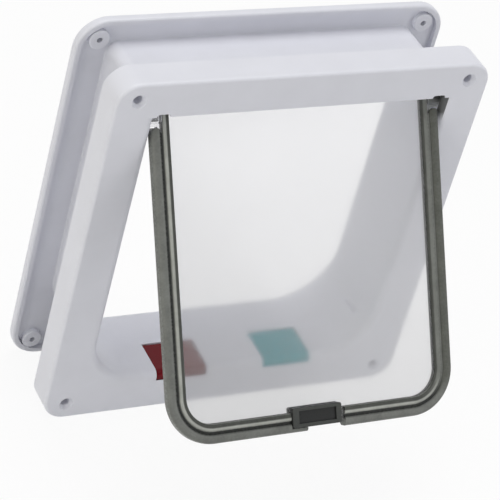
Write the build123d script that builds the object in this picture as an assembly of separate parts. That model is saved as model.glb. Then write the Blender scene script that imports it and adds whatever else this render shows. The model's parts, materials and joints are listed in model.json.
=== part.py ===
from build123d import *
import os

# Cat flap for a door: an interior frame, an exterior frame with its tunnel, a clear flap and two latches.
# Millimetres. X points right, Y runs from the room through the door, Z points up.
# The origin is the centre of the interior frame's screw pattern, at the foot of its dishes.
# Depths along Y are measured from the frame's front face until the pieces are placed at the end.

# Interior frame
frame_width = 200.0
frame_height = 204.0
frame_depth = 16.3
frame_corner = 12.0
frame_edge_round = 1.6
frame_wall = 2.5
face_thickness = 3.0

# Screws that clamp the two frames on the door
screw_side_inset = 11.6
screw_end_inset = 9.4
screw_hole = 4.5
screw_dish = 7.6
screw_dish_depth = 1.9
screw_pillar = 9.4

# Opening in the interior frame: the bars that are left round it, its corners and its rounded edge
side_bar = 21.8
lintel_bar = 19.0
sill_bar = 23.0
opening_corner = 25.0
opening_edge_round = 4.0

# Tunnel, measured inside, and the collar that it slides in
tunnel_side_step = 2.8
tunnel_top_rise = 5.7
tunnel_floor_drop = 5.6
tunnel_low_corner = 32.8
tunnel_high_corner = 3.5
tunnel_wall = 1.8
tunnel_start_gap = 0.3
slide_clearance = 0.3
collar_wall = 2.2
collar_start = 13.0
collar_end = 24.0
lintel_wall = 2.4
lintel_pocket_inset = 20.2

# Exterior frame
overall_depth = 54.6
flange_extra_width = 0.2
flange_extra_height = 1.4
flange_corner = 16.0
flange_thickness = 2.6
flange_edge_round = 1.6
rim_height = 2.5
rim_thickness = 3.0
rim_round = 1.4
sleeve_root_round = 0.8
mouth_round = 5.0
boss_diameter = 10.6
boss_round = 0.8
boss_pilot = 3.0
boss_floor = 1.2

# Flap, measured as it hangs closed
hinge_y = 7.5
hinge_drop = 6.0
flap_side_gap = 0.7
flap_sill_gap = 1.9
flap_corner = 23.0
flap_open_angle = 36.5
panel_thickness = 3.0
panel_top_rise = 2.0
hub_radius = 2.9
hub_reach = 3.1
hub_seal_gap = 0.3
hub_floor = 1.2
hub_web_drop = 3.9

# Seal round the flap
seal_bead_width = 4.9
seal_bead_thickness = 6.4
seal_bead_round = 2.0
seal_groove_width = 0.9
seal_groove_thickness = 4.0
seal_lip_width = 3.7
seal_lip_thickness = 5.8
seal_lip_round = 1.1
seal_panel_cover = 3.6
seal_bead_drop = 4.4
seal_fit = 0.05
seal_holder_gap = 0.2
seal_left_end = 5.0
seal_right_gap = 2.2

# Magnet holder on the flap and its magnet
holder_width = 27.0
holder_height = 9.8
holder_lift = 2.2
holder_thickness = 8.4
holder_round = 1.0
holder_window_width = 20.4
holder_window_height = 6.2
holder_window_depth = 0.9
holder_window_drop = 1.6
flap_magnet_width = 14.0
flap_magnet_height = 4.0
magnet_fit = 0.05

# Hinge pins, caps and cap screws
hinge_pin = 2.0
hinge_pin_end_gap = 0.3
hinge_pin_seat = 10.0
running_fit = 0.05
seat_fit = 0.02
hub_clearance = 0.5
hub_pocket_gap = 0.6
hub_pocket_drop = 9.0
notch_depth = 2.8
notch_shoulder = 4.0
notch_drop = 11.0
notch_corner = 4.0
window_inset = 3.5
window_width = 7.0
window_rise = 1.6
window_corner = 1.5
hinge_block_inset = 7.0
hinge_block_depth = 12.6
hinge_block_rise = 8.5
cap_thickness = 2.0
cap_inset = 5.5
cap_gap = 0.3
cap_drop = 19.5
cap_corner = 2.0
cap_tongue_gap = 0.8
cap_screw_inset = 10.5
cap_screw_drop = 15.0
cap_screw = 2.5
cap_screw_length = 8.0
cap_screw_head = 5.0
cap_screw_head_height = 1.4
cap_screw_slot_width = 0.8
cap_screw_slot_depth = 0.6
cap_post = 7.0

# Latches in the sill and their pins
red_latch_margin = 9.6
green_latch_margin = 3.6
latch_spacing = 25.2
latch_inset = 0.35
latch_reach = 22.0
latch_thickness = 2.2
latch_edge_round = 0.7
latch_side_gap = 0.4
latch_gap = 0.25
latch_lip_drop = 1.2
latch_pin = 2.0
latch_pin_seat = 3.5
sill_block_inset = 24.2
sill_block_depth = 11.0
sill_lip_end = 24.5
sill_lip_rise = 13.0
sill_lip_clearance = 0.3
sleeve_cut_gap = 0.6

# Magnet under the sill and its cover
sill_magnet_width = 14.0
sill_magnet_depth = 4.5
sill_magnet_height = 4.0
sill_magnet_skin = 1.5
cover_flange = 1.2
cover_thickness = 1.5

# Room that cutting shapes are given past a face, and the slack for finding an edge by its place
past = 1.0
tolerance = 0.01

# Derived places
frame_half = frame_width / 2
frame_top = frame_height / 2
screw_spacing_x = frame_width - 2 * screw_side_inset
screw_spacing_z = frame_height - 2 * screw_end_inset
opening_half = frame_half - side_bar
lintel_z = frame_top - lintel_bar
sill_z = sill_bar - frame_top
lintel_pocket_width = 2 * (opening_half - lintel_pocket_inset)
hinge_z = lintel_z - hinge_drop
tunnel_half = opening_half + tunnel_side_step
tunnel_top = lintel_z + tunnel_top_rise
tunnel_floor = sill_z - tunnel_floor_drop
tunnel_start = collar_start + tunnel_start_gap
rebate_offset = tunnel_wall + slide_clearance
collar_offset = rebate_offset + collar_wall
flange_front = overall_depth - flange_thickness
rim_front = flange_front - rim_height
flange_width = frame_width + flange_extra_width
flange_height = frame_height + flange_extra_height
flap_half = opening_half - flap_side_gap
flap_length = hinge_z - sill_z - flap_sill_gap
panel_half = flap_half - seal_panel_cover
seal_width = seal_bead_width + seal_groove_width + seal_lip_width
hub_end = flap_half + hub_reach
hub_start = flap_half - seal_bead_width - seal_groove_width + hub_seal_gap
pocket_end = hub_end + hub_pocket_gap
hinge_pin_inner = hub_start + hub_floor + hinge_pin_end_gap
hinge_pin_outer = pocket_end + hinge_pin_seat
window_middle = flap_half - window_inset
hinge_block_end = frame_half - hinge_block_inset
cap_end = frame_half - cap_inset
cap_screw_x = frame_half - cap_screw_inset
cap_start = tunnel_half + collar_offset + cap_gap
cap_screw_z = hinge_z - cap_screw_drop
sill_block_width = 2 * (opening_half - sill_block_inset)
latch_seat = latch_side_gap + latch_pin_seat
latch_places = sill_block_width - red_latch_margin - latch_spacing - green_latch_margin
latch_width = latch_places / 2 - 2 * latch_seat
red_latch_x = red_latch_margin + latch_seat + latch_width / 2 - sill_block_width / 2
green_latch_x = sill_block_width / 2 - green_latch_margin - latch_seat - latch_width / 2
latch_y = opening_edge_round
latch_z = sill_z - opening_edge_round
latch_radius = opening_edge_round - latch_inset
latch_top = sill_z - latch_inset
latch_bottom = latch_top - latch_thickness
sill_block_bottom = sill_z - sill_block_depth
sill_magnet_top = sill_z - sill_magnet_skin
flap_bottom = hinge_z - flap_length
panel_top = hinge_z + panel_top_rise
panel_bottom = flap_bottom + seal_panel_cover
hinge_axis = Axis((0, hinge_y, hinge_z), (1, 0, 0))


def slab(sketch, y_start, y_end):
    """Extrude a sketch drawn in X and Z from one depth to another."""
    return extrude(Plane.XZ.offset(-y_start) * sketch, amount=y_start - y_end)


def block(x_range, y_range, z_range):
    """A box between two corners."""
    sizes = [high - low for low, high in (x_range, y_range, z_range)]
    middle = [(high + low) / 2 for low, high in (x_range, y_range, z_range)]
    return Pos(*middle) * Box(*sizes)


def rod(x_range, y, z, radius):
    """A cylinder along X."""
    length = x_range[1] - x_range[0]
    middle = (x_range[0] + x_range[1]) / 2
    return Pos(middle, y, z) * Rot(0, 90, 0) * Cylinder(radius, length)


def post(x, z, y_range, radius):
    """A cylinder along Y."""
    length = y_range[1] - y_range[0]
    middle = (y_range[0] + y_range[1]) / 2
    return Pos(x, middle, z) * Rot(90, 0, 0) * Cylinder(radius, length)


def span(middle, width):
    """The two ends of a width about a middle."""
    return (middle - width / 2, middle + width / 2)


def arched_outline(half_width, top, bottom, low_corner, high_corner=0.0):
    """An upright rectangle with rounded lower corners and, if asked, rounded upper ones."""
    face = Pos(0, (top + bottom) / 2) * Rectangle(2 * half_width, top - bottom)
    face = fillet(face.vertices().sort_by(Axis.Y)[:2], low_corner)
    if high_corner > 0:
        face = fillet(face.vertices().sort_by(Axis.Y)[-2:], high_corner)
    return face


def tunnel_outline(offset):
    """The tunnel's inner outline, moved outwards by an offset."""
    return arched_outline(
        tunnel_half + offset,
        tunnel_top + offset,
        tunnel_floor - offset,
        tunnel_low_corner + offset,
        tunnel_high_corner + offset,
    )


def screw_places():
    """The four screw centres in X and Z."""
    return [(x, z) for x in span(0, screw_spacing_x) for z in span(0, screw_spacing_z)]


def edges_at_depth(body, y, half_width, bottom, top):
    """The edges that lie at one depth, inside an upright rectangle."""
    low = Vector(-half_width - tolerance, y - tolerance, bottom - tolerance)
    high = Vector(half_width + tolerance, y + tolerance, top + tolerance)
    found = []
    for edge in body.edges():
        box = edge.bounding_box()
        reached = box.min.X > low.X and box.min.Y > low.Y and box.min.Z > low.Z
        kept = box.max.X < high.X and box.max.Y < high.Y and box.max.Z < high.Z
        if reached and kept:
            found.append(edge)
    return found


def opening_cutter():
    """What the opening takes away, with the rounding of its front edge along the sides and sill."""
    hole = slab(opening_outline(), -past, collar_start + past)
    margin = opening_edge_round + past
    wide = arched_outline(opening_half + margin, lintel_z, sill_z - margin, opening_corner + margin)
    cutter = hole + slab(wide, -past, 0)
    edges = edges_at_depth(cutter, 0, opening_half, sill_z, lintel_z)
    return fillet(edges, opening_edge_round)


def opening_outline():
    """The opening's clear outline."""
    return arched_outline(opening_half, lintel_z, sill_z, opening_corner)


def sill_lip():
    """The lip that carries the sill and its rounded corners on into the tunnel."""
    depth = (collar_start - past, sill_lip_end)
    lip = slab(tunnel_outline(-sill_lip_clearance), *depth) - slab(opening_outline(), *depth)
    return lip & block(span(0, 2 * tunnel_half), depth, (tunnel_floor, sill_z + sill_lip_rise))


def latch_room(middle):
    """The pocket that one latch and its pin need in the sill."""
    width = span(middle, latch_width + 2 * latch_side_gap)
    rear = latch_reach + latch_side_gap
    tongue = block(width, (latch_y, rear), (latch_bottom - latch_gap, sill_z + past))
    lip = block(width, (-past, latch_y), (latch_z - latch_lip_drop, sill_z + past))
    knuckle = rod(width, latch_y, latch_z, latch_radius + latch_gap)
    return tongue + lip + knuckle


def latch_pin_range(middle):
    """Where a latch pin starts and ends along X."""
    return span(middle, latch_width + 2 * latch_seat)


def pin_bore(middle):
    """The hole for a latch pin, from the pin's inner end to the outer end of the sill block."""
    inner = min(latch_pin_range(middle), key=abs)
    side = 1 if middle > 0 else -1
    ends = sorted((inner, side * (sill_block_width / 2 + past)))
    return rod(ends, latch_y, latch_z, latch_pin / 2 + seat_fit)


def sided(side, near, far):
    """An X range on the left (-1) or right (1)."""
    return tuple(sorted((side * near, side * far)))


def hinge_block(side):
    """The block behind the face that carries a hinge pin, and the post for its cap screw."""
    body = block(
        sided(side, pocket_end, hinge_block_end),
        (face_thickness / 2, hinge_block_depth),
        span(hinge_z, 2 * hinge_block_rise),
    )
    depth = (face_thickness / 2, hinge_block_depth)
    return body + post(side * cap_screw_x, cap_screw_z, depth, cap_post / 2)


def hinge_room(side):
    """The pocket and window at a hub, the slot for its pin and the cap screw's hole."""
    pocket = block(
        sided(side, opening_half - past, pocket_end),
        (hinge_y - hub_radius - hub_clearance, collar_start),
        (hinge_z - hub_pocket_drop, hinge_z + hub_radius + hub_clearance),
    )
    window = block(
        span(side * window_middle, window_width),
        (-past, hinge_y),
        (lintel_z - past, lintel_z + window_rise),
    )
    window = fillet(window.edges().filter_by(Axis.Y).group_by(Axis.Z)[-1], window_corner)
    pin = sided(side, pocket_end - past, hinge_pin_outer)
    seat = rod(pin, hinge_y, hinge_z, hinge_pin / 2 + seat_fit)
    slot = block(pin, (hinge_y, collar_end + past), span(hinge_z, hinge_pin + 2 * seat_fit))
    hole = post(
        side * cap_screw_x,
        cap_screw_z,
        (hinge_block_depth + cap_thickness - cap_screw_length, hinge_block_depth + past),
        cap_screw / 2 + seat_fit,
    )
    return pocket + window + seat + slot + hole


def hub_notch():
    """The notch in the face at the right hub, narrower towards its foot."""
    near = opening_half - past
    far = opening_half + notch_depth
    foot = hinge_z - notch_drop
    outline = Polygon(
        (near, lintel_z),
        (far, lintel_z),
        (far, hinge_z - notch_shoulder),
        (opening_half, foot),
        (near, foot),
        align=None,
    )
    shoulder = outline.vertices().group_by(Axis.X)[-1].sort_by(Axis.Y)[0]
    return slab(fillet(shoulder, notch_corner), -past, hinge_y)


def interior_frame():
    shell = slab(RectangleRounded(frame_width, frame_height, frame_corner), 0, frame_depth)
    shell = fillet(shell.faces().sort_by(Axis.Y)[0].edges(), frame_edge_round)
    inside = RectangleRounded(
        frame_width - 2 * frame_wall,
        frame_height - 2 * frame_wall,
        frame_corner - frame_wall,
    )
    body = shell - slab(inside, face_thickness, frame_depth + past)
    body += slab(tunnel_outline(collar_offset), face_thickness / 2, collar_end)
    sill_x = span(0, sill_block_width)
    body += block(sill_x, (face_thickness / 2, collar_start), (sill_block_bottom, tunnel_floor))
    for x, z in screw_places():
        body += post(x, z, (face_thickness / 2, frame_depth), screw_pillar / 2)
    for side in (-1, 1):
        body += hinge_block(side)
    body -= opening_cutter()
    body -= slab(tunnel_outline(rebate_offset), collar_start, collar_end + past)
    body -= block(
        span(0, lintel_pocket_width),
        (face_thickness, collar_start + past),
        (lintel_z + lintel_wall, tunnel_top),
    )
    body += sill_lip()
    for side in (-1, 1):
        body -= hinge_room(side)
    body -= hub_notch()
    for middle in (red_latch_x, green_latch_x):
        body -= latch_room(middle)
        body -= pin_bore(middle)
    body -= block(
        span(0, sill_magnet_width + 2 * magnet_fit),
        span(hinge_y, sill_magnet_depth + 2 * magnet_fit),
        (sill_block_bottom - past, sill_magnet_top),
    )
    for x, z in screw_places():
        body -= post(x, z, (-past, frame_depth + past), screw_hole / 2)
        dish = Cone(screw_dish / 2, screw_hole / 2, screw_dish_depth)
        body -= Pos(x, screw_dish_depth / 2, z) * Rot(-90, 0, 0) * dish
    return body


def screw_boss(x, z):
    """A boss in the exterior frame's channel with a rounded front edge."""
    boss = post(x, z, (rim_front, flange_front + flange_thickness / 2), boss_diameter / 2)
    return fillet(boss.edges().group_by(Axis.Y)[0], boss_round)


def exterior_frame():
    place = Pos(0, flange_extra_height / 2)
    outline = place * RectangleRounded(flange_width, flange_height, flange_corner)
    flange = slab(outline, rim_front, overall_depth)
    flange = fillet(flange.faces().sort_by(Axis.Y)[-1].edges(), flange_edge_round)
    flange = fillet(flange.faces().sort_by(Axis.Y)[0].edges(), rim_round)
    channel = RectangleRounded(
        flange_width - 2 * rim_thickness,
        flange_height - 2 * rim_thickness,
        flange_corner - rim_thickness,
    )
    flange -= slab(place * channel, rim_front - past, flange_front)
    body = flange + slab(tunnel_outline(tunnel_wall), tunnel_start, flange_front + flange_thickness / 2)
    sleeve = (tunnel_half + tunnel_wall, tunnel_floor - tunnel_wall, tunnel_top + tunnel_wall)
    root = edges_at_depth(body, flange_front, *sleeve)
    body = fillet(root, sleeve_root_round)
    body -= slab(tunnel_outline(0), tunnel_start - past, overall_depth + past)
    mouth = edges_at_depth(body, overall_depth, tunnel_half, tunnel_floor, tunnel_top)
    body = fillet(mouth, mouth_round)
    body -= block(
        span(0, sill_block_width + 2 * sleeve_cut_gap),
        (tunnel_start - past, sill_lip_end + sleeve_cut_gap),
        (tunnel_floor - tunnel_wall - past, sill_z),
    )
    for x, z in screw_places():
        body += screw_boss(x, z)
    for x, z in screw_places():
        body -= post(x, z, (rim_front - past, overall_depth - boss_floor), boss_pilot / 2)
    return body


def opened(piece):
    """Swing a piece of the closed flap to the angle that it hangs open at."""
    return piece.rotate(hinge_axis, -flap_open_angle)


def flap_panel():
    thickness = span(hinge_y, panel_thickness)
    outline = arched_outline(panel_half, panel_top, panel_bottom, flap_corner - seal_panel_cover)
    body = slab(outline, *thickness)
    body += block(span(0, 2 * flap_half), thickness, (hinge_z - hub_web_drop, panel_top))
    for side in (-1, 1):
        body += rod(sided(side, hub_start, hub_end), hinge_y, hinge_z, hub_radius)
    for side in (-1, 1):
        bore = sided(side, hub_start + hub_floor, hub_end + past)
        body -= rod(bore, hinge_y, hinge_z, hinge_pin / 2 + running_fit)
    body -= block(
        span(0, flap_magnet_width + 2 * magnet_fit),
        (thickness[0] - past, thickness[1] + past),
        (panel_bottom - past, panel_bottom + flap_magnet_height + magnet_fit),
    )
    return opened(body)


def seal_section():
    """The seal's section: X from its outer edge inwards, Y across its thickness."""
    bead = Pos(seal_bead_width / 2, 0) * Rectangle(seal_bead_width, seal_bead_thickness)
    bead = fillet(bead.vertices(), seal_bead_round)
    groove_width = 2 * (seal_groove_width + seal_lip_round)
    groove = Pos(seal_bead_width, 0) * Rectangle(groove_width, seal_groove_thickness)
    lip_middle = seal_width - seal_lip_width / 2
    lip = Pos(lip_middle, 0) * Rectangle(seal_lip_width, seal_lip_thickness)
    lip = fillet(lip.vertices(), seal_lip_round)
    slot_start = seal_panel_cover - seal_fit
    slot_length = seal_width + past - slot_start
    slot_middle = slot_start + slot_length / 2
    slot = Pos(slot_middle, 0) * Rectangle(slot_length, panel_thickness + 2 * seal_fit)
    return bead + groove + lip - slot


def seal(side, end_x):
    """One seal: down a side of the flap, round its corner and along its lower edge."""
    edge_x = side * flap_half
    top = (edge_x, hinge_y, panel_top)
    corner = (edge_x, hinge_y, flap_bottom)
    end = (end_x, hinge_y, flap_bottom)
    path = FilletPolyline(top, corner, end, radius=flap_corner)
    start = Plane(origin=top, x_dir=(-side, 0, 0), z_dir=(0, 0, -1))
    strip = sweep(start * seal_section(), path=path)
    return opened(strip - bead_end(side) - holder_box(seal_holder_gap))


def bead_end(side):
    """What is cut from a seal so that its bead ends in an arch under the hub and its lip runs on."""
    radius = seal_bead_width / 2
    arch_z = hinge_z - seal_bead_drop - radius
    depth = span(hinge_y, seal_bead_thickness + 2 * past)
    across = sided(side, flap_half - seal_bead_width - seal_groove_width, flap_half + past)
    upper = block(across, depth, (arch_z, panel_top + past))
    return upper - post(side * (flap_half - radius), arch_z, depth, radius)


def holder_box(gap):
    """The space of the closed magnet holder with a gap round it."""
    low_z = flap_bottom + holder_lift
    return block(
        span(0, holder_width + 2 * gap),
        span(hinge_y, holder_thickness + 2 * gap),
        (low_z - gap, low_z + holder_height + gap),
    )


def flap_magnet():
    """The bar magnet that sits in a notch in the panel's lower edge."""
    return opened(block(
        span(0, flap_magnet_width),
        span(hinge_y, panel_thickness),
        (panel_bottom, panel_bottom + flap_magnet_height),
    ))


def magnet_holder(side):
    """One half of the holder: the front (-1) with its recessed window or the plain back (1)."""
    near, far = sorted((hinge_y, hinge_y + side * holder_thickness))
    whole = fillet(holder_box(0).edges(), holder_round)
    body = whole & block(span(0, 2 * holder_width), (near, far), (flap_bottom, hinge_z))
    body -= block(
        span(0, holder_width + 2 * past),
        span(hinge_y, panel_thickness + 2 * seal_fit),
        (panel_bottom - seal_fit, hinge_z),
    )
    if side < 0:
        face = hinge_y - holder_thickness / 2
        top = flap_bottom + holder_lift + holder_height - holder_window_drop
        body -= block(
            span(0, holder_window_width),
            (face - past, face + holder_window_depth),
            (top - holder_window_height, top),
        )
    return opened(body)


def latch(middle):
    """A latch: a knuckle on its pin and a flat tongue that lies in the sill."""
    width = span(middle, latch_width)
    tongue = block(width, (latch_y, latch_reach), (latch_bottom, latch_top))
    rear = tongue.edges().filter_by(Axis.X).group_by(Axis.Y)[-1]
    body = fillet(rear, latch_edge_round) + rod(width, latch_y, latch_z, latch_radius)
    bore = (width[0] - past, width[1] + past)
    return body - rod(bore, latch_y, latch_z, latch_pin / 2 + running_fit)


def hinge_cap(side):
    """A cap over a hinge block: its tongue holds the pin at the bottom of the slot."""
    back = hinge_block_depth + cap_thickness
    low_z = hinge_z - cap_drop
    high_z = hinge_z + hinge_block_rise
    plate = block(sided(side, cap_start, cap_end), (hinge_block_depth, back), (low_z, high_z))
    plate = fillet(plate.edges().filter_by(Axis.Y), cap_corner)
    tongue = block(
        sided(side, cap_start + cap_tongue_gap, hinge_pin_outer - cap_tongue_gap),
        (hinge_y + hinge_pin / 2 + running_fit, hinge_block_depth + cap_thickness / 2),
        span(hinge_z, hinge_pin - 2 * running_fit),
    )
    through = (hinge_block_depth - past, back + past)
    hole = post(side * cap_screw_x, cap_screw_z, through, cap_screw / 2 + running_fit)
    return plate + tongue - hole


def cap_screw_piece(side):
    """A pan-headed screw with a driver slot."""
    seat = hinge_block_depth + cap_thickness
    top = seat + cap_screw_head_height
    x = side * cap_screw_x
    shank = post(x, cap_screw_z, (seat - cap_screw_length + past, seat), cap_screw / 2)
    head = post(x, cap_screw_z, (seat, top), cap_screw_head / 2)
    head = fillet(head.edges().group_by(Axis.Y)[-1], cap_screw_slot_depth)
    slot = block(
        span(x, cap_screw_head + 2 * past),
        (top - cap_screw_slot_depth, top + past),
        span(cap_screw_z, cap_screw_slot_width),
    )
    return shank + head - slot


def sill_magnet():
    return block(
        span(0, sill_magnet_width),
        span(hinge_y, sill_magnet_depth),
        (sill_magnet_top - magnet_fit - sill_magnet_height, sill_magnet_top - magnet_fit),
    )


def sill_magnet_cover():
    """A plug that fills the pocket below the magnet, on a small flange."""
    top = sill_magnet_top - sill_magnet_height - 2 * magnet_fit
    plug = block(span(0, sill_magnet_width), span(hinge_y, sill_magnet_depth), (sill_block_bottom, top))
    flange = block(
        span(0, sill_magnet_width + 2 * cover_flange),
        span(hinge_y, sill_magnet_depth + 2 * cover_flange),
        (sill_block_bottom - cover_thickness, sill_block_bottom),
    )
    return plug + flange


pieces = {
    "interior_frame": interior_frame(),
    "exterior_frame": exterior_frame(),
    "flap_panel": flap_panel(),
    "left_seal": seal(-1, -seal_left_end),
    "right_seal": seal(1, holder_width / 2 + seal_right_gap),
    "magnet_holder_front": magnet_holder(-1),
    "magnet_holder_back": magnet_holder(1),
    "flap_magnet": flap_magnet(),
    "red_latch": latch(red_latch_x),
    "green_latch": latch(green_latch_x),
    "red_latch_pin": rod(latch_pin_range(red_latch_x), latch_y, latch_z, latch_pin / 2),
    "green_latch_pin": rod(latch_pin_range(green_latch_x), latch_y, latch_z, latch_pin / 2),
    "sill_magnet": sill_magnet(),
    "sill_magnet_cover": sill_magnet_cover(),
}
for name, side in (("left", -1), ("right", 1)):
    pin = sided(side, hinge_pin_inner, hinge_pin_outer)
    pieces[name + "_hinge_pin"] = rod(pin, hinge_y, hinge_z, hinge_pin / 2)
    pieces[name + "_hinge_cap"] = hinge_cap(side)
    pieces[name + "_cap_screw"] = cap_screw_piece(side)

# The pieces are moved from the front face to the foot of the dishes and written
os.makedirs("parts", exist_ok=True)
for name, piece in pieces.items():
    export_step(Pos(0, -screw_dish_depth, 0) * piece, f"parts/{name}.step")
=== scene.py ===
import json
import math

import bmesh
import bpy
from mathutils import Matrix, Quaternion, Vector


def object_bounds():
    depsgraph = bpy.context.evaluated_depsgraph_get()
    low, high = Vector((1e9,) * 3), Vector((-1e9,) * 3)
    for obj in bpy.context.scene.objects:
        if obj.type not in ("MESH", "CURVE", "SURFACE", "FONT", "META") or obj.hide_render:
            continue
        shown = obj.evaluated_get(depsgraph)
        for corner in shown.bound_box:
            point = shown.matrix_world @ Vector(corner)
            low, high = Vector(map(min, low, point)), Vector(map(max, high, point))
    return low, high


bl_info = {
    "name": "Cat Flap",
    "version": (1, 0, 0),
    "blender": (4, 5, 0),
    "location": "3D View > Sidebar > Cat Flap",
    "description": "Finishes, floor, light and camera for a moulded cat flap",
    "category": "Object",
}

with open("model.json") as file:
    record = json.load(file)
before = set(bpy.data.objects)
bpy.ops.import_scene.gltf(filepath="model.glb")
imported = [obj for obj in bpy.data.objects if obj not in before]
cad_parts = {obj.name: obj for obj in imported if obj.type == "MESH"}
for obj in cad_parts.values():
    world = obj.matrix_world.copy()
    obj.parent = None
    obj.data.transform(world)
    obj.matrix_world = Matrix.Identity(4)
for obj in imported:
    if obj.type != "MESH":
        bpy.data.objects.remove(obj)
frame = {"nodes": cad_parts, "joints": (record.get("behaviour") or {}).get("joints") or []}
cad_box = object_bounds()
floor_level = cad_box[0][2]

# Pieces that share a finish
WHITE_PIECES = (
    "interior_frame", "exterior_frame", "left_hinge_cap", "right_hinge_cap", "sill_magnet_cover",
)
SEAL_PIECES = ("left_seal", "right_seal")
HOLDER_PIECES = ("magnet_holder_front", "magnet_holder_back")
STEEL_PIECES = (
    "left_hinge_pin", "right_hinge_pin", "red_latch_pin", "green_latch_pin",
    "left_cap_screw", "right_cap_screw",
)
MAGNET_PIECES = ("flap_magnet", "sill_magnet")

MILLIMETRE = 0.001
PURE_WHITE = (1.0, 1.0, 1.0, 1.0)
SENSOR_WIDTH = 36.0

# Soft patches: how finely the noise is broken up, and the part of its range that is spread out
PATCH_DETAIL = 3.0
PATCH_BREAK_UP = 0.55
PATCH_LOW = 0.3
PATCH_HIGH = 0.7

# Share by which a grained surface's gloss goes up and down
GLOSS_SPREAD = 0.2

# Gloss of the moulded, extruded and clear plastics and of the magnets
ABS_IOR = 1.53
ACRYLIC_IOR = 1.49
FERRITE_IOR = 1.6
MILD_GLOSS = {"IOR": ABS_IOR, "Specular IOR Level": 0.15}

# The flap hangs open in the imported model, so its patterns are laid out on the flap turned straight down
FLAP_ANGLE = math.radians(36.5)
FLAP_HINGE = next(tuple(joint["pos_m"]) for joint in frame["joints"] if joint["name"] == "flap_swing")

# Outline of the flap below its hinge line, in millimetres
FLAP_HALF_WIDTH = 77.5
FLAP_LENGTH = 154.1
FLAP_CORNER = 23.0
SEAL_WIDTH = 9.5

# Distances below the hinge line between which a seal's side goes over to its lower run, in millimetres
LOWER_RUN_START = 136.0
LOWER_RUN_FULL = 146.0

# Heights of the magnet holder's window and face off the middle of the flap's thickness, in millimetres
HOLDER_WINDOW_HEIGHT = 3.5
HOLDER_FACE_HEIGHT = 4.0

# Right hub of the panel: where its frosting and its painted shade start and are full, in millimetres,
# and how rough it is
HUB_START = 71.5
HUB_FULL = 72.5
HUB_FROSTING = 0.4

# Right hinge pocket: its middle, the depth at which it starts behind the frame's face, and how far from
# its middle the painted shade is full and ends, in millimetres
POCKET_MIDDLE = (78.0, 1.0, 79.0)
POCKET_START = -1.4
POCKET_SHADE_FULL = 6.0
POCKET_SHADE_END = 11.0

# Stripes of a seal, with painted shade in the groove and on the lip and a painted highlight on the ridge:
# distances inwards from the flap's edge, in millimetres, and the colour at each
PAINTED_LIGHT_STRIPES = (
    (0.0, "seal"), (3.6, "seal"), (4.5, "seal_groove_shade"), (5.6, "seal_groove_shade"), (6.1, "seal_ridge_highlight"),
    (7.2, "seal_ridge_highlight"), (7.8, "seal_lip_shade"), (9.2, "seal_lip_shade"), (9.4, "seal"),
)

# The same along the right side, with the painted light evener and darker, so that the groove no longer
# shows
RIGHT_SIDE_PAINTED_LIGHT_STRIPES = (
    (0.0, "right_bead_shaded"), (4.4, "right_bead_shaded"), (5.4, "right_ridge_shaded"), (8.4, "right_ridge_shaded"), (9.0, "seal_lip_shade"),
)


def linear(hex_colour):
    """Turn an sRGB hex colour into linear red, green and blue."""
    parts = [int(hex_colour[place:place + 2], 16) / 255 for place in (1, 3, 5)]
    return tuple(part / 12.92 if part <= 0.04045 else ((part + 0.055) / 1.055) ** 2.4 for part in parts)


def add_node(tree, kind, inputs=None, links=None, **settings):
    """Add a node with its settings, its input values and its links."""
    made = tree.nodes.new(kind)
    for setting, value in settings.items():
        setattr(made, setting, value)
    for socket, value in (inputs or {}).items():
        made.inputs[socket].default_value = value
    for socket, source in (links or {}).items():
        tree.links.new(source, made.inputs[socket])
    return made


def opaque(colour):
    """A colour with full alpha, as a shader's socket takes it."""
    return (*colour[:3], 1.0)


def new_material(name):
    """An empty node material."""
    material = bpy.data.materials.new(name)
    material.use_nodes = True
    material.node_tree.nodes.clear()
    return material


def soft_patches(tree, size, drawn_out=(1.0, 1.0, 1.0)):
    """Soft patches of about one size in millimetres, longer along an axis where drawn_out is lower."""
    place = add_node(tree, "ShaderNodeTexCoord")
    drawn = add_node(tree, "ShaderNodeMapping", {"Scale": drawn_out}, {"Vector": place.outputs["Object"]})
    noise = add_node(
        tree, "ShaderNodeTexNoise",
        {"Scale": 1 / (size * MILLIMETRE), "Detail": PATCH_DETAIL, "Roughness": PATCH_BREAK_UP},
        {"Vector": drawn.outputs["Vector"]},
    )
    spread = add_node(
        tree, "ShaderNodeMapRange",
        {"From Min": PATCH_LOW, "From Max": PATCH_HIGH},
        {"Value": noise.outputs["Fac"]},
    )
    return spread.outputs["Result"]


def patchy_colour(tree, colour, shade, size):
    """A colour that goes a little darker in soft patches of a size in millimetres."""
    deep = [part * (1 - shade) for part in colour[:3]]
    mixed = add_node(
        tree, "ShaderNodeMixRGB",
        {"Color1": opaque(deep), "Color2": opaque(colour)},
        {"Fac": soft_patches(tree, size)},
    )
    return mixed.outputs["Color"]


def hanging_flap(tree):
    """Millimetres across, through and down from the hinge line, as if the flap hung straight down."""
    place = add_node(tree, "ShaderNodeTexCoord")
    straight = add_node(
        tree, "ShaderNodeVectorRotate",
        {"Center": FLAP_HINGE, "Angle": FLAP_ANGLE},
        {"Vector": place.outputs["Object"]},
        rotation_type="X_AXIS",
    )
    from_hinge = add_node(
        tree, "ShaderNodeVectorMath",
        {1: FLAP_HINGE},
        {0: straight.outputs["Vector"]},
        operation="SUBTRACT",
    )
    scaled = add_node(
        tree, "ShaderNodeVectorMath",
        {"Scale": 1 / MILLIMETRE},
        {0: from_hinge.outputs["Vector"]},
        operation="SCALE",
    )
    apart = add_node(
        tree, "ShaderNodeVectorMath", links={0: scaled.outputs["Vector"]}, operation="ABSOLUTE",
    )
    return apart.outputs["Vector"]


def flap_share(tree, axis, start, full, **easing):
    """Rises from nought to one between two distances along an axis of the hanging flap."""
    axes = add_node(tree, "ShaderNodeSeparateXYZ", links={"Vector": hanging_flap(tree)})
    share = add_node(
        tree, "ShaderNodeMapRange",
        {"From Min": start, "From Max": full},
        {"Value": axes.outputs[axis]},
        **easing,
    )
    return share.outputs["Result"]


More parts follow.
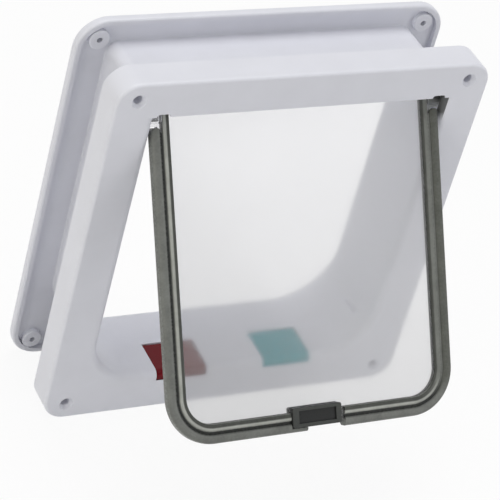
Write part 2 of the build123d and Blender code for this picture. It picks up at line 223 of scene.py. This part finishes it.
def right_hub_shade_and_frost_share(tree):
    """One on the right hinge hub and nought on the rest of the panel."""
    place = add_node(tree, "ShaderNodeTexCoord")
    axes = add_node(tree, "ShaderNodeSeparateXYZ", links={"Vector": place.outputs["Object"]})
    share = add_node(
        tree, "ShaderNodeMapRange",
        {"From Min": HUB_START * MILLIMETRE, "From Max": HUB_FULL * MILLIMETRE},
        {"Value": axes.outputs["X"]},
    )
    return share.outputs["Result"]


def right_pocket_shade_share(tree):
    """One in the right hinge pocket, behind the frame's face, where shade is painted, and nought away
    from it.
    """
    place = add_node(tree, "ShaderNodeTexCoord")
    distance = add_node(
        tree, "ShaderNodeVectorMath",
        {1: [part * MILLIMETRE for part in POCKET_MIDDLE]},
        {0: place.outputs["Object"]},
        operation="DISTANCE",
    )
    near = add_node(
        tree, "ShaderNodeMapRange",
        {"From Min": POCKET_SHADE_END * MILLIMETRE, "From Max": POCKET_SHADE_FULL * MILLIMETRE},
        {"Value": distance.outputs["Value"]},
    )
    axes = add_node(tree, "ShaderNodeSeparateXYZ", links={"Vector": place.outputs["Object"]})
    inside = add_node(
        tree, "ShaderNodeMath",
        {1: POCKET_START * MILLIMETRE},
        {0: axes.outputs["Y"]},
        operation="GREATER_THAN",
    )
    share = add_node(
        tree, "ShaderNodeMath",
        links={0: near.outputs["Result"], 1: inside.outputs["Value"]},
        operation="MULTIPLY",
    )
    return share.outputs["Value"]


def striped_colour(tree, finish, stripes):
    """Stripes of painted highlight and shade along a seal, laid out from the flap's edge inwards and
    round its corners.
    """
    flat = add_node(
        tree, "ShaderNodeVectorMath", {1: (1, 0, 1)}, {0: hanging_flap(tree)}, operation="MULTIPLY",
    )
    corner = (FLAP_HALF_WIDTH - FLAP_CORNER, 0, FLAP_LENGTH - FLAP_CORNER)
    past_corner = add_node(
        tree, "ShaderNodeVectorMath", {1: corner}, {0: flat.outputs["Vector"]}, operation="SUBTRACT",
    )
    outwards = add_node(
        tree, "ShaderNodeVectorMath",
        {1: (0, 0, 0)},
        {0: past_corner.outputs["Vector"]},
        operation="MAXIMUM",
    )
    reach = add_node(
        tree, "ShaderNodeVectorMath", links={0: outwards.outputs["Vector"]}, operation="LENGTH",
    )
    inwards = add_node(
        tree, "ShaderNodeMapRange",
        {"From Min": FLAP_CORNER, "From Max": FLAP_CORNER - SEAL_WIDTH},
        {"Value": reach.outputs["Value"]},
    )
    ramp = add_node(tree, "ShaderNodeValToRGB", links={"Fac": inwards.outputs["Result"]})
    elements = ramp.color_ramp.elements
    while len(elements) < len(stripes):
        elements.new(1.0)
    for element, (distance, colour) in zip(elements, stripes):
        element.position = distance / SEAL_WIDTH
        element.color = opaque(getattr(finish, colour))
    return ramp.outputs["Color"]


def close_surface(
    tree, colour, roughness, grain, depth, drawn_out=(1.0, 1.0, 1.0), frosting=None, **surface
):
    """End a material with its colour and a fine grain, in millimetres, that breaks up its gloss."""
    pattern = soft_patches(tree, grain, drawn_out)
    gloss = add_node(
        tree, "ShaderNodeMapRange",
        {"To Min": roughness - GLOSS_SPREAD * roughness, "To Max": roughness + GLOSS_SPREAD * roughness},
        {"Value": pattern},
    )
    bump = add_node(
        tree, "ShaderNodeBump", {"Strength": 1.0, "Distance": depth * MILLIMETRE}, {"Height": pattern},
    )
    links = {"Base Color": colour, "Roughness": gloss.outputs["Result"], "Normal": bump.outputs["Normal"]}
    if frosting:
        frosted = add_node(
            tree, "ShaderNodeMath", links={0: gloss.outputs["Result"], 1: frosting}, operation="ADD",
        )
        links["Roughness"] = frosted.outputs["Value"]
    shader = add_node(tree, "ShaderNodeBsdfPrincipled", surface, links)
    add_node(tree, "ShaderNodeOutputMaterial", links={"Surface": shader.outputs["BSDF"]})


def dress(names, material):
    """Give CAD nodes a finish."""
    for name in names:
        for slot in frame["nodes"][name].material_slots:
            slot.material = material


class CatFlapFinish(bpy.types.PropertyGroup):
    white: bpy.props.FloatVectorProperty(
        name="White", description="Colour of the two frames, the hinge caps and the sill cover",
        default=linear("#E2E3EB"), subtype="COLOR", min=0, max=1,
    )
    # Painted shade: the right hinge pocket is darkened as if it lay in shadow
    painted_pocket_shade: bpy.props.FloatVectorProperty(
        name="Grease", description="Colour of the grease and dust in the right hinge pocket",
        default=linear("#5A5B5C"), subtype="COLOR", min=0, max=1,
    )
    panel: bpy.props.FloatVectorProperty(
        name="Panel", description="Tint of the clear flap panel near its hinge",
        default=linear("#EEEEF0"), subtype="COLOR", min=0, max=1,
    )
    # Painted shade: the panel greys towards its lower edge, standing in for the shadow seen through it
    panel_low_shade: bpy.props.FloatVectorProperty(
        name="Panel, rubbed", description="Tint of the clear flap panel near its lower edge",
        default=linear("#D9D9DA"), subtype="COLOR", min=0, max=1,
    )
    panel_clearness: bpy.props.FloatProperty(
        name="Panel clearness", description="How much of the light goes straight through the panel",
        default=0.91, min=0, max=1, subtype="FACTOR",
    )
    # Painted shade: a grey tint on the right hub only, standing in for the shadow of its hinge pocket
    hub: bpy.props.FloatVectorProperty(
        name="Hub", description="Tint of the frosted right hinge hub of the flap panel",
        default=linear("#A8AAA8"), subtype="COLOR", min=0, max=1,
    )
    seal: bpy.props.FloatVectorProperty(
        name="Seal", description="Colour of the broad bead of the channel seals round the flap",
        default=linear("#7A7C78"), subtype="COLOR", min=0, max=1,
    )
    # Painted shade in the groove and on the lip, and a painted highlight on the ridge, as light would
    # fall on them
    seal_groove_shade: bpy.props.FloatVectorProperty(
        name="Seal groove", description="Colour of the groove of the channel seals",
        default=linear("#303230"), subtype="COLOR", min=0, max=1,
    )
    seal_ridge_highlight: bpy.props.FloatVectorProperty(
        name="Seal ridge", description="Colour of the pale ridge of the channel seals",
        default=linear("#B4B6B0"), subtype="COLOR", min=0, max=1,
    )
    seal_lip_shade: bpy.props.FloatVectorProperty(
        name="Seal lip", description="Colour of the dark lip of the channel seals on the panel",
        default=linear("#4C4E4A"), subtype="COLOR", min=0, max=1,
    )
    # Painted light along the right side: evener and darker than on the other runs, as light falls there
    right_bead_shaded: bpy.props.FloatVectorProperty(
        name="Dull bead", description="Colour of the bead along the right side, which is rubbed dull",
        default=linear("#62645E"), subtype="COLOR", min=0, max=1,
    )
    right_ridge_shaded: bpy.props.FloatVectorProperty(
        name="Dull ridge", description="Colour of the ridge along the right side, which is rubbed dull",
        default=linear("#7C7E79"), subtype="COLOR", min=0, max=1,
    )
    holder: bpy.props.FloatVectorProperty(
        name="Holder", description="Colour of the magnet holder on the flap",
        default=linear("#464846"), subtype="COLOR", min=0, max=1,
    )
    # Painted shade in the holder's recessed window
    holder_window_shade: bpy.props.FloatVectorProperty(
        name="Holder window", description="Colour of the recessed window in the magnet holder",
        default=linear("#292A2A"), subtype="COLOR", min=0, max=1,
    )
    red: bpy.props.FloatVectorProperty(
        name="Red", description="Colour of the left latch",
        default=linear("#6C0412"), subtype="COLOR", min=0, max=1,
    )
    green: bpy.props.FloatVectorProperty(
        name="Green", description="Colour of the right latch",
        default=linear("#0C98A2"), subtype="COLOR", min=0, max=1,
    )
    steel: bpy.props.FloatVectorProperty(
        name="Steel", description="Colour of the pins and cap screws",
        default=linear("#86888A"), subtype="COLOR", min=0, max=1,
    )
    magnet: bpy.props.FloatVectorProperty(
        name="Magnet", description="Colour of the two bar magnets",
        default=linear("#3A3A3C"), subtype="COLOR", min=0, max=1,
    )


class CatFlapStage(bpy.types.PropertyGroup):
    floor_colour: bpy.props.FloatVectorProperty(
        name="Floor", description="Colour of the floor",
        default=linear("#F6F6F6"), subtype="COLOR", min=0, max=1,
    )
    floor_width: bpy.props.FloatProperty(
        name="Floor width", description="Width of the square floor", default=12.0, unit="LENGTH",
    )
    floor_shade: bpy.props.FloatProperty(
        name="Floor shade", description="How much of the object's shadow the white floor shows",
        default=0.09, min=0, max=1, subtype="FACTOR",
    )
    sky_light: bpy.props.FloatProperty(
        name="Sky light", description="Strength of the even light from all round", default=0.3, min=0,
    )
    lamp_width: bpy.props.FloatProperty(
        name="Lamp width", description="Width of each square lamp", default=1.2, unit="LENGTH",
    )
    key_place: bpy.props.FloatVectorProperty(
        name="Key lamp", description="Place of the strong soft lamp overhead",
        default=(0.1, 0.25, 1.7), subtype="TRANSLATION", unit="LENGTH",
    )
    key_power: bpy.props.FloatProperty(
        name="Key power", description="Power of the lamp overhead", default=16.0, min=0, unit="POWER",
    )
    front_place: bpy.props.FloatVectorProperty(
        name="Front lamp", description="Place of the weak soft lamp in front",
        default=(-0.35, -1.6, 0.5), subtype="TRANSLATION", unit="LENGTH",
    )
    front_power: bpy.props.FloatProperty(
        name="Front power", description="Power of the lamp in front", default=2.6, min=0, unit="POWER",
    )
    left_place: bpy.props.FloatVectorProperty(
        name="Left lamp", description="Place of the soft lamp on the left",
        default=(-1.6, -0.3, 0.5), subtype="TRANSLATION", unit="LENGTH",
    )
    left_power: bpy.props.FloatProperty(
        name="Left power", description="Power of the lamp on the left", default=8.4, min=0, unit="POWER",
    )
    left_colour: bpy.props.FloatVectorProperty(
        name="Left colour", description="Warm white of the lamp on the left",
        default=linear("#FFFCF1"), subtype="COLOR", min=0, max=1,
    )
    right_place: bpy.props.FloatVectorProperty(
        name="Right lamp", description="Place of the weak soft lamp on the right",
        default=(1.3, -1.1, 0.5), subtype="TRANSLATION", unit="LENGTH",
    )
    right_power: bpy.props.FloatProperty(
        name="Right power", description="Power of the lamp on the right",
        default=4.9, min=0, unit="POWER",
    )
    camera_place: bpy.props.FloatVectorProperty(
        name="Camera", description="Place of the camera",
        default=(-0.5355, -0.7772, 0.6817), subtype="TRANSLATION", unit="LENGTH",
    )
    camera_aim: bpy.props.FloatVectorProperty(
        name="Aim", description="Point that the camera looks at",
        default=(-0.01, -0.0051, 0.0001), subtype="TRANSLATION", unit="LENGTH",
    )
    camera_roll: bpy.props.FloatProperty(
        name="Roll", description="Turn of the camera about its line of sight",
        default=math.radians(16.17), subtype="ANGLE", unit="ROTATION",
    )
    camera_lens: bpy.props.FloatProperty(
        name="Lens", description="Focal length on a 36 mm sensor", default=170.0, unit="CAMERA",
    )


class CATFLAP_OT_white_pieces(bpy.types.Operator):
    """Finish the frames, hinge caps and sill cover in white moulded plastic"""

    bl_idname = "cat_flap.white_pieces"
    bl_label = "White pieces"

    def execute(self, context):
        finish = context.scene.cat_flap_finish
        # White ABS from a satin mould: a soft sheen, faint flow patches and a fine grain, drawn coarse
        white = new_material("white_abs_satin")
        tree = white.node_tree
        clean = patchy_colour(tree, finish.white, shade=0.04, size=22.0)
        # Painted shade in the right hinge pocket, darkening the recess as shadow would
        colour = add_node(
            tree, "ShaderNodeMixRGB",
            {"Color2": opaque(finish.painted_pocket_shade)},
            {"Fac": right_pocket_shade_share(tree), "Color1": clean},
        )
        close_surface(tree, colour.outputs["Color"], roughness=0.38, grain=0.9, depth=0.006, IOR=ABS_IOR)
        dress(WHITE_PIECES, white)
        return {"FINISHED"}


class CATFLAP_OT_panel(bpy.types.Operator):
    """Finish the flap panel in clear moulded plastic"""

    bl_idname = "cat_flap.panel"
    bl_label = "Panel"

    def execute(self, context):
        finish = context.scene.cat_flap_finish
        # Clear acrylic from a polished mould: clean reflections, painted shade greying it towards its
        # lower edge, and a frosted right hub with a grey tint of painted shade
        clear = new_material("clear_acrylic_polished")
        tree = clear.node_tree
        hub = right_hub_shade_and_frost_share(tree)
        clean = patchy_colour(tree, finish.panel, shade=0.02, size=30.0)
        # Painted shade, greying the panel from its hinge down to its lower edge
        shaded = add_node(
            tree, "ShaderNodeMixRGB",
            {"Color2": opaque(finish.panel_low_shade)},
            {"Fac": flap_share(tree, "Z", 0.0, FLAP_LENGTH), "Color1": clean},
        )
        # Painted shade on the right hub, as a grey tint
        colour = add_node(
            tree, "ShaderNodeMixRGB",
            {"Color2": opaque(finish.hub)},
            {"Fac": hub, "Color1": shaded.outputs["Color"]},
        )
        frosting = add_node(tree, "ShaderNodeMath", {1: HUB_FROSTING}, {0: hub}, operation="MULTIPLY")
        surface = {"IOR": ACRYLIC_IOR, "Transmission Weight": finish.panel_clearness}
        close_surface(
            tree, colour.outputs["Color"], roughness=0.1, grain=12.0, depth=0.004,
            frosting=frosting.outputs["Value"], **surface,
        )
        dress(("flap_panel",), clear)
        return {"FINISHED"}


class CATFLAP_OT_seals(bpy.types.Operator):
    """Finish the two seals in extruded grey PVC"""

    bl_idname = "cat_flap.seals"
    bl_label = "Seals"

    def execute(self, context):
        finish = context.scene.cat_flap_finish
        # Soft grey PVC, extruded: a broad bead, painted shade in the groove and on the lip and a painted
        # highlight on the ridge; along the right side the painted light is evener and darker
        for node, side_stripes in zip(SEAL_PIECES, (PAINTED_LIGHT_STRIPES, RIGHT_SIDE_PAINTED_LIGHT_STRIPES)):
            pvc = new_material(f"{node}_pvc_extruded")
            tree = pvc.node_tree
            patches = patchy_colour(tree, PURE_WHITE, shade=0.25, size=7.0)
            stripes = add_node(
                tree, "ShaderNodeMixRGB",
                links={
                    "Fac": flap_share(tree, "Z", LOWER_RUN_START, LOWER_RUN_FULL),
                    "Color1": striped_colour(tree, finish, side_stripes),
                    "Color2": striped_colour(tree, finish, PAINTED_LIGHT_STRIPES),
                },
            )
            colour = add_node(
                tree, "ShaderNodeMixRGB",
                {"Fac": 1.0},
                {"Color1": stripes.outputs["Color"], "Color2": patches},
                blend_type="MULTIPLY",
            )
            close_surface(
                tree, colour.outputs["Color"], roughness=0.27, grain=1.2, depth=0.01, **MILD_GLOSS
            )
            dress((node,), pvc)
        return {"FINISHED"}


class CATFLAP_OT_magnet_holder(bpy.types.Operator):
    """Finish the two halves of the magnet holder in dark moulded plastic"""

    bl_idname = "cat_flap.magnet_holder"
    bl_label = "Magnet holder"

    def execute(self, context):
        finish = context.scene.cat_flap_finish
        # Dark ABS, moulded: a plain surface with small bright edges, and painted shade in its recessed
        # window
        dark = new_material("dark_abs_moulded")
        tree = dark.node_tree
        face = flap_share(
            tree, "Y", HOLDER_WINDOW_HEIGHT, HOLDER_FACE_HEIGHT, interpolation_type="SMOOTHSTEP"
        )
        colour = add_node(
            tree, "ShaderNodeMixRGB",
            {"Color1": opaque(finish.holder_window_shade)},
            {"Fac": face, "Color2": patchy_colour(tree, finish.holder, shade=0.15, size=5.0)},
        )
        close_surface(
            tree, colour.outputs["Color"], roughness=0.32, grain=0.7, depth=0.006, **MILD_GLOSS
        )
        dress(HOLDER_PIECES, dark)
        return {"FINISHED"}


class CATFLAP_OT_latches(bpy.types.Operator):
    """Finish the red and the green latch in coloured moulded plastic"""

    bl_idname = "cat_flap.latches"
    bl_label = "Latches"

    def execute(self, context):
        finish = context.scene.cat_flap_finish
        # Coloured ABS, moulded: the colour goes right through, a little uneven, under a mild gloss
        for node, colour in (("red_latch", finish.red), ("green_latch", finish.green)):
            moulded = new_material(f"{node}_abs_moulded")
            tree = moulded.node_tree
            mottled = patchy_colour(tree, colour, shade=0.1, size=9.0)
            close_surface(tree, mottled, roughness=0.35, grain=0.7, depth=0.005, **MILD_GLOSS)
            dress((node,), moulded)
        return {"FINISHED"}


class CATFLAP_OT_steel_pieces(bpy.types.Operator):
    """Finish the hinge pins, latch pins and cap screws in plain steel"""

    bl_idname = "cat_flap.steel_pieces"
    bl_label = "Steel pieces"

    def execute(self, context):
        finish = context.scene.cat_flap_finish
        # Steel wire, drawn: grey, with fine lines along its length that soften each reflection
        steel = new_material("steel_drawn")
        tree = steel.node_tree
        colour = patchy_colour(tree, finish.steel, shade=0.2, size=3.0)
        along_pins = (0.05, 1.0, 1.0)
        close_surface(
            tree, colour, roughness=0.36, grain=0.3, depth=0.004, drawn_out=along_pins, Metallic=1.0
        )
        dress(STEEL_PIECES, steel)
        return {"FINISHED"}


class CATFLAP_OT_magnets(bpy.types.Operator):
    """Finish the two bar magnets in sintered ferrite"""

    bl_idname = "cat_flap.magnets"
    bl_label = "Magnets"

    def execute(self, context):
        finish = context.scene.cat_flap_finish
        # Ferrite, pressed and sintered: dull, dark and slightly gritty
        ferrite = new_material("ferrite_sintered")
        tree = ferrite.node_tree
        colour = patchy_colour(tree, finish.magnet, shade=0.2, size=2.0)
        close_surface(tree, colour, roughness=0.6, grain=0.4, depth=0.01, IOR=FERRITE_IOR)
        dress(MAGNET_PIECES, ferrite)
        return {"FINISHED"}


def seen_directly(tree):
    """One for a ray from the camera or by gloss or glass, nought for one that only carries light."""
    path = add_node(tree, "ShaderNodeLightPath")
    glossy = add_node(
        tree, "ShaderNodeMath",
        links={0: path.outputs["Is Camera Ray"], 1: path.outputs["Is Glossy Ray"]},
        operation="MAXIMUM",
    )
    either = add_node(
        tree, "ShaderNodeMath",
        links={0: glossy.outputs["Value"], 1: path.outputs["Is Transmission Ray"]},
        operation="MAXIMUM",
    )
    return either.outputs["Value"]


def white_floor(stage):
    """Floor paint that is white to look at, keeps a soft shadow and lights the object as paint does."""
    material = new_material("floor_paint_matt")
    tree = material.node_tree
    paint = add_node(tree, "ShaderNodeBsdfDiffuse", {"Color": opaque(stage.floor_colour)})
    glow = add_node(tree, "ShaderNodeEmission", {"Color": PURE_WHITE, "Strength": 1.0})
    share = add_node(
        tree, "ShaderNodeMath",
        {1: 1 - stage.floor_shade},
        {0: seen_directly(tree)},
        operation="MULTIPLY",
    )
    mixed = add_node(
        tree, "ShaderNodeMixShader",
        links={"Fac": share.outputs["Value"], 1: paint.outputs["BSDF"], 2: glow.outputs["Emission"]},
    )
    add_node(tree, "ShaderNodeOutputMaterial", links={"Surface": mixed.outputs["Shader"]})
    return material


def white_sky(stage):
    """Even light from all round that is white to look at."""
    world = bpy.data.worlds.new("studio_sky")
    world.use_nodes = True
    tree = world.node_tree
    tree.nodes.clear()
    light = add_node(tree, "ShaderNodeBackground", {"Color": PURE_WHITE, "Strength": stage.sky_light})
    white = add_node(tree, "ShaderNodeBackground", {"Color": PURE_WHITE, "Strength": 1.0})
    mixed = add_node(
        tree, "ShaderNodeMixShader",
        links={
            "Fac": seen_directly(tree),
            1: light.outputs["Background"],
            2: white.outputs["Background"],
        },
    )
    add_node(tree, "ShaderNodeOutputWorld", links={"Surface": mixed.outputs["Shader"]})
    return world


def link(name, data):
    """Add an object to the scene."""
    made = bpy.data.objects.new(name, data)
    bpy.context.scene.collection.objects.link(made)
    return made


class CATFLAP_OT_stage(bpy.types.Operator):
    """Add the floor, the sky, the four soft lamps and the camera"""

    bl_idname = "cat_flap.stage"
    bl_label = "Stage"

    def execute(self, context):
        stage = context.scene.cat_flap_stage
        self.floor(stage)
        context.scene.world = white_sky(stage)
        self.lamp("key_lamp", stage.key_place, stage.key_power, stage.lamp_width)
        self.lamp("front_lamp", stage.front_place, stage.front_power, stage.lamp_width)
        left_lamp = self.lamp("left_lamp", stage.left_place, stage.left_power, stage.lamp_width)
        left_lamp.data.color = stage.left_colour
        self.lamp("right_lamp", stage.right_place, stage.right_power, stage.lamp_width)
        context.scene.camera = self.camera(stage)
        context.scene.view_settings.view_transform = "Standard"
        return {"FINISHED"}

    def floor(self, stage):
        """Lay the floor at the foot of the part."""
        mesh = bpy.data.meshes.new("floor")
        shape = bmesh.new()
        bmesh.ops.create_grid(shape, x_segments=1, y_segments=1, size=stage.floor_width / 2)
        bmesh.ops.translate(shape, vec=(0, 0, floor_level), verts=shape.verts)
        shape.to_mesh(mesh)
        shape.free()
        mesh.materials.append(white_floor(stage))
        link("floor", mesh)

    def lamp(self, name, place, power, width):
        """Hang a square soft lamp that faces the part."""
        data = bpy.data.lights.new(name, "AREA")
        data.shape = "SQUARE"
        data.size = width
        data.energy = power
        lamp = link(name, data)
        lamp.location = place
        lamp.rotation_euler = (-Vector(place)).to_track_quat("-Z", "Y").to_euler()
        return lamp

    def camera(self, stage):
        """Set up the camera at the photograph's place, aim and roll."""
        data = bpy.data.cameras.new("photo_camera")
        data.sensor_width = SENSOR_WIDTH
        data.lens = stage.camera_lens
        camera = link("photo_camera", data)
        sight = Vector(stage.camera_aim) - Vector(stage.camera_place)
        turn = sight.to_track_quat("-Z", "Y") @ Quaternion((0, 0, 1), stage.camera_roll)
        camera.location = stage.camera_place
        camera.rotation_euler = turn.to_euler()
        return camera


OPERATORS = (
    CATFLAP_OT_white_pieces,
    CATFLAP_OT_panel,
    CATFLAP_OT_seals,
    CATFLAP_OT_magnet_holder,
    CATFLAP_OT_latches,
    CATFLAP_OT_steel_pieces,
    CATFLAP_OT_magnets,
    CATFLAP_OT_stage,
)


class CATFLAP_PT_pieces(bpy.types.Panel):
    """Lists the steps that finish the cat flap"""

    bl_idname = "CATFLAP_PT_pieces"
    bl_label = "Cat Flap"
    bl_space_type = "VIEW_3D"
    bl_region_type = "UI"
    bl_category = "Cat Flap"

    def draw(self, context):
        column = self.layout.column()
        for group in (context.scene.cat_flap_finish, context.scene.cat_flap_stage):
            for name in group.__annotations__:
                column.prop(group, name)
        for operator in OPERATORS:
            column.operator(operator.bl_idname)


CLASSES = (CatFlapFinish, CatFlapStage, *OPERATORS, CATFLAP_PT_pieces)


def register():
    for kind in CLASSES:
        bpy.utils.register_class(kind)
    bpy.types.Scene.cat_flap_finish = bpy.props.PointerProperty(type=CatFlapFinish)
    bpy.types.Scene.cat_flap_stage = bpy.props.PointerProperty(type=CatFlapStage)


def unregister():
    del bpy.types.Scene.cat_flap_stage
    del bpy.types.Scene.cat_flap_finish
    for kind in reversed(CLASSES):
        bpy.utils.unregister_class(kind)


def main():
    register()
    bpy.ops.cat_flap.white_pieces()
    bpy.ops.cat_flap.panel()
    bpy.ops.cat_flap.seals()
    bpy.ops.cat_flap.magnet_holder()
    bpy.ops.cat_flap.latches()
    bpy.ops.cat_flap.steel_pieces()
    bpy.ops.cat_flap.magnets()
    bpy.ops.cat_flap.stage()


if __name__ == "__main__":
    main()
